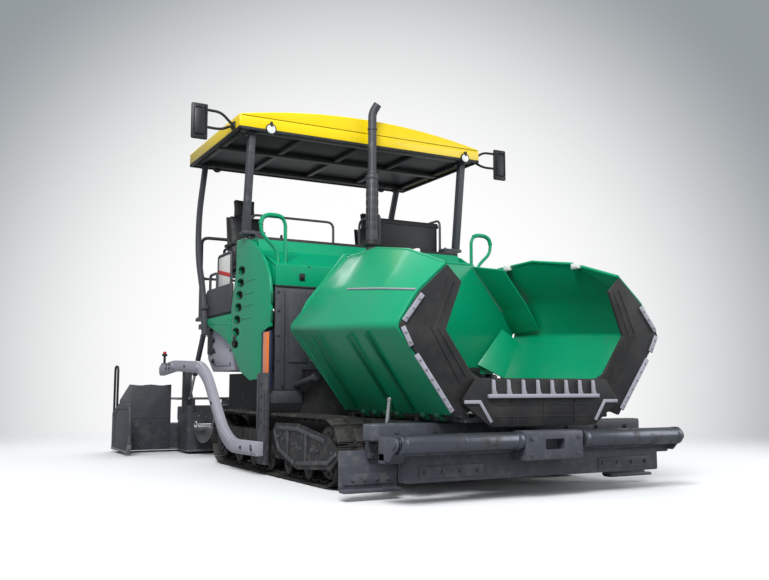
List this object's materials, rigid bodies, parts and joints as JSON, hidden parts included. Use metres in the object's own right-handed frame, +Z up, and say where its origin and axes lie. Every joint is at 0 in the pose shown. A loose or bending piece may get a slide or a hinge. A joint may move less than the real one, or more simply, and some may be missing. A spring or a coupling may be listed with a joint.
{
  "type": "tracked asphalt paver",
  "caption": "Tracked road paver with a folding material hopper, roofed operator's platform, augers and an extending floating screed.",
  "frame": {"origin": "on the floor, under the middle of the machine's bounding box", "axes": "+Z up, -Y the way it drives (hopper in front), +X the machine's left"},
  "size_m": [3.9, 6.6, 3.9202],
  "materials": {
    "green": "gloss emerald green paint",
    "yellow": "gloss yellow moulded roof",
    "grey": "satin dark grey paint, worn at edges",
    "light_grey": "satin light grey paint",
    "black": "black moulded plastic and vinyl",
    "rubber": "black rubber",
    "steel": "bright worn steel",
    "glass": "mirror glass",
    "lamp": "clear lamp lens",
    "orange": "orange reflector"
  },
  "bodies": {
    "machine": {"main_frame": "grey", "conveyor_deck": "steel", "front_beam": "grey", "bulkhead": "green", "front_wall": "grey", "hood": "green", "engine": "black", "rear_body": "light_grey", "platform": "grey", "console": "black", "roof": "yellow", "roof_liner": "black", "exhaust": "grey", "right_track": "rubber", "right_track_frame": "grey", "right_tail_panel": "green", "right_front_post": "grey", "right_rear_post": "grey", "right_mirror": "black", "right_rear_rail": "grey", "right_tow_column": "light_grey", "left_track": "rubber", "left_track_frame": "grey", "left_tail_panel": "green", "left_front_post": "grey", "left_rear_post": "grey", "left_mirror": "black", "left_rear_rail": "grey", "left_tow_column": "light_grey"},
    "front_apron": {"front_apron": "rubber"},
    "push_bar": {"push_bar": "grey"},
    "screed": {"screed": "grey", "right_screed_arm": "light_grey", "left_screed_arm": "light_grey"},
    "right_wing": {"right_wing": "green", "right_wing_flap": "rubber"},
    "right_wing_barrel": {"right_wing_barrel": "grey"},
    "right_wing_rod": {"right_wing_rod": "steel"},
    "right_service_door": {"right_service_door": "green"},
    "right_seat": {"right_seat": "black"},
    "right_push_roller": {"right_push_roller": "steel"},
    "right_lift_barrel": {"right_lift_barrel": "grey"},
    "right_lift_rod": {"right_lift_rod": "steel"},
    "right_extension": {"right_extension": "grey"},
    "right_auger": {"right_auger": "steel"},
    "left_wing": {"left_wing": "green", "left_wing_flap": "rubber"},
    "left_wing_barrel": {"left_wing_barrel": "grey"},
    "left_wing_rod": {"left_wing_rod": "steel"},
    "left_service_door": {"left_service_door": "green"},
    "left_seat": {"left_seat": "black"},
    "left_push_roller": {"left_push_roller": "steel"},
    "left_lift_barrel": {"left_lift_barrel": "grey"},
    "left_lift_rod": {"left_lift_rod": "steel"},
    "left_extension": {"left_extension": "grey"},
    "left_auger": {"left_auger": "steel"}
  },
  "joints": [
    {"name": "front_apron_hinge", "type": "hinge", "parent": "machine", "child": "front_apron", "pos_m": [0, -3.155, 0.56], "axis": [1, 0, 0], "range_deg": [0, 40]},
    {"name": "push_bar_pivot", "type": "hinge", "parent": "machine", "child": "push_bar", "pos_m": [0, -3, 0.25], "axis": [0, 0, 1], "range_deg": [-4, 4]},
    {"name": "screed_lift", "type": "hinge", "parent": "machine", "child": "screed", "pos_m": [0, -0.6, 0.25], "axis": [1, 0, 0], "range_deg": [-0.3, 6]},
    {"name": "right_wing_hinge", "type": "hinge", "parent": "machine", "child": "right_wing", "pos_m": [-0.76, -2.1, 0.6], "axis": [0, -1, 0], "range_deg": [0, 35]},
    {"name": "right_wing_barrel_pivot", "type": "hinge", "parent": "machine", "child": "right_wing_barrel", "pos_m": [-1.02, -2.45, 0.2], "axis": [0, -1, 0], "range_deg": [-0.5, 5.98]},
    {"name": "right_wing_rod_slide", "type": "slide", "parent": "right_wing_barrel", "child": "right_wing_rod", "axis": [0.1213, 0, 0.9926], "range_m": [-0.1449, 0.002]},
    {"name": "right_lift_barrel_pivot", "type": "hinge", "parent": "machine", "child": "right_lift_barrel", "pos_m": [-1.2, 1.75, 1.47], "axis": [1, 0, 0], "range_deg": [-1, 10.3]},
    {"name": "right_lift_rod_slide", "type": "slide", "parent": "right_lift_barrel", "child": "right_lift_rod", "axis": [0, 0.5618, -0.8273], "range_m": [-0.2736, 0.016]},
    {"name": "right_door_hinge", "type": "hinge", "parent": "machine", "child": "right_service_door", "pos_m": [-1.265, -0.67, 1.6], "axis": [0, 0, 1], "range_deg": [0, 75]},
    {"name": "right_seat_swivel", "type": "hinge", "parent": "machine", "child": "right_seat", "pos_m": [-0.85, 1.05, 1.66], "axis": [0, 0, 1], "range_deg": [-15, 60]},
    {"name": "right_roller_spin", "type": "hinge", "parent": "push_bar", "child": "right_push_roller", "pos_m": [-0.8, -3.23, 0.43], "axis": [1, 0, 0], "continuous": true},
    {"name": "right_auger_spin", "type": "hinge", "parent": "machine", "child": "right_auger", "pos_m": [-0.6, 1.98, 0.34], "axis": [1, 0, 0], "continuous": true},
    {"name": "right_extension_slide", "type": "slide", "parent": "screed", "child": "right_extension", "axis": [-1, 0, 0], "range_m": [-0.675, 0.55]},
    {"name": "left_wing_hinge", "type": "hinge", "parent": "machine", "child": "left_wing", "pos_m": [0.76, -2.1, 0.6], "axis": [0, 1, 0], "range_deg": [0, 35]},
    {"name": "left_wing_barrel_pivot", "type": "hinge", "parent": "machine", "child": "left_wing_barrel", "pos_m": [1.02, -2.45, 0.2], "axis": [0, 1, 0], "range_deg": [-0.5, 5.98]},
    {"name": "left_wing_rod_slide", "type": "slide", "parent": "left_wing_barrel", "child": "left_wing_rod", "axis": [-0.1213, 0, 0.9926], "range_m": [-0.1449, 0.002]},
    {"name": "left_lift_barrel_pivot", "type": "hinge", "parent": "machine", "child": "left_lift_barrel", "pos_m": [1.2, 1.75, 1.47], "axis": [1, 0, 0], "range_deg": [-1, 10.3]},
    {"name": "left_lift_rod_slide", "type": "slide", "parent": "left_lift_barrel", "child": "left_lift_rod", "axis": [0, 0.5618, -0.8273], "range_m": [-0.2736, 0.016]},
    {"name": "left_door_hinge", "type": "hinge", "parent": "machine", "child": "left_service_door", "pos_m": [1.265, -0.67, 1.6], "axis": [0, 0, -1], "range_deg": [0, 75]},
    {"name": "left_seat_swivel", "type": "hinge", "parent": "machine", "child": "left_seat", "pos_m": [0.85, 1.05, 1.66], "axis": [0, 0, -1], "range_deg": [-15, 60]},
    {"name": "left_roller_spin", "type": "hinge", "parent": "push_bar", "child": "left_push_roller", "pos_m": [0.8, -3.23, 0.43], "axis": [1, 0, 0], "continuous": true},
    {"name": "left_auger_spin", "type": "hinge", "parent": "machine", "child": "left_auger", "pos_m": [0.6, 1.98, 0.34], "axis": [1, 0, 0], "continuous": true},
    {"name": "left_extension_slide", "type": "slide", "parent": "screed", "child": "left_extension", "axis": [1, 0, 0], "range_m": [-0.675, 0.55]}
  ],
  "couplings": [
    {"joint": "right_wing_barrel_pivot", "follows": "right_wing_hinge", "ratio": 0.1565},
    {"joint": "right_wing_rod_slide", "follows": "right_wing_hinge", "m_per_rad": -0.234},
    {"joint": "right_lift_barrel_pivot", "follows": "screed_lift", "ratio": 1.6334},
    {"joint": "right_lift_rod_slide", "follows": "screed_lift", "m_per_rad": -2.5936},
    {"joint": "left_wing_barrel_pivot", "follows": "left_wing_hinge", "ratio": 0.1565},
    {"joint": "left_wing_rod_slide", "follows": "left_wing_hinge", "m_per_rad": -0.234},
    {"joint": "left_lift_barrel_pivot", "follows": "screed_lift", "ratio": 1.6334},
    {"joint": "left_lift_rod_slide", "follows": "screed_lift", "m_per_rad": -2.5936}
  ]
}
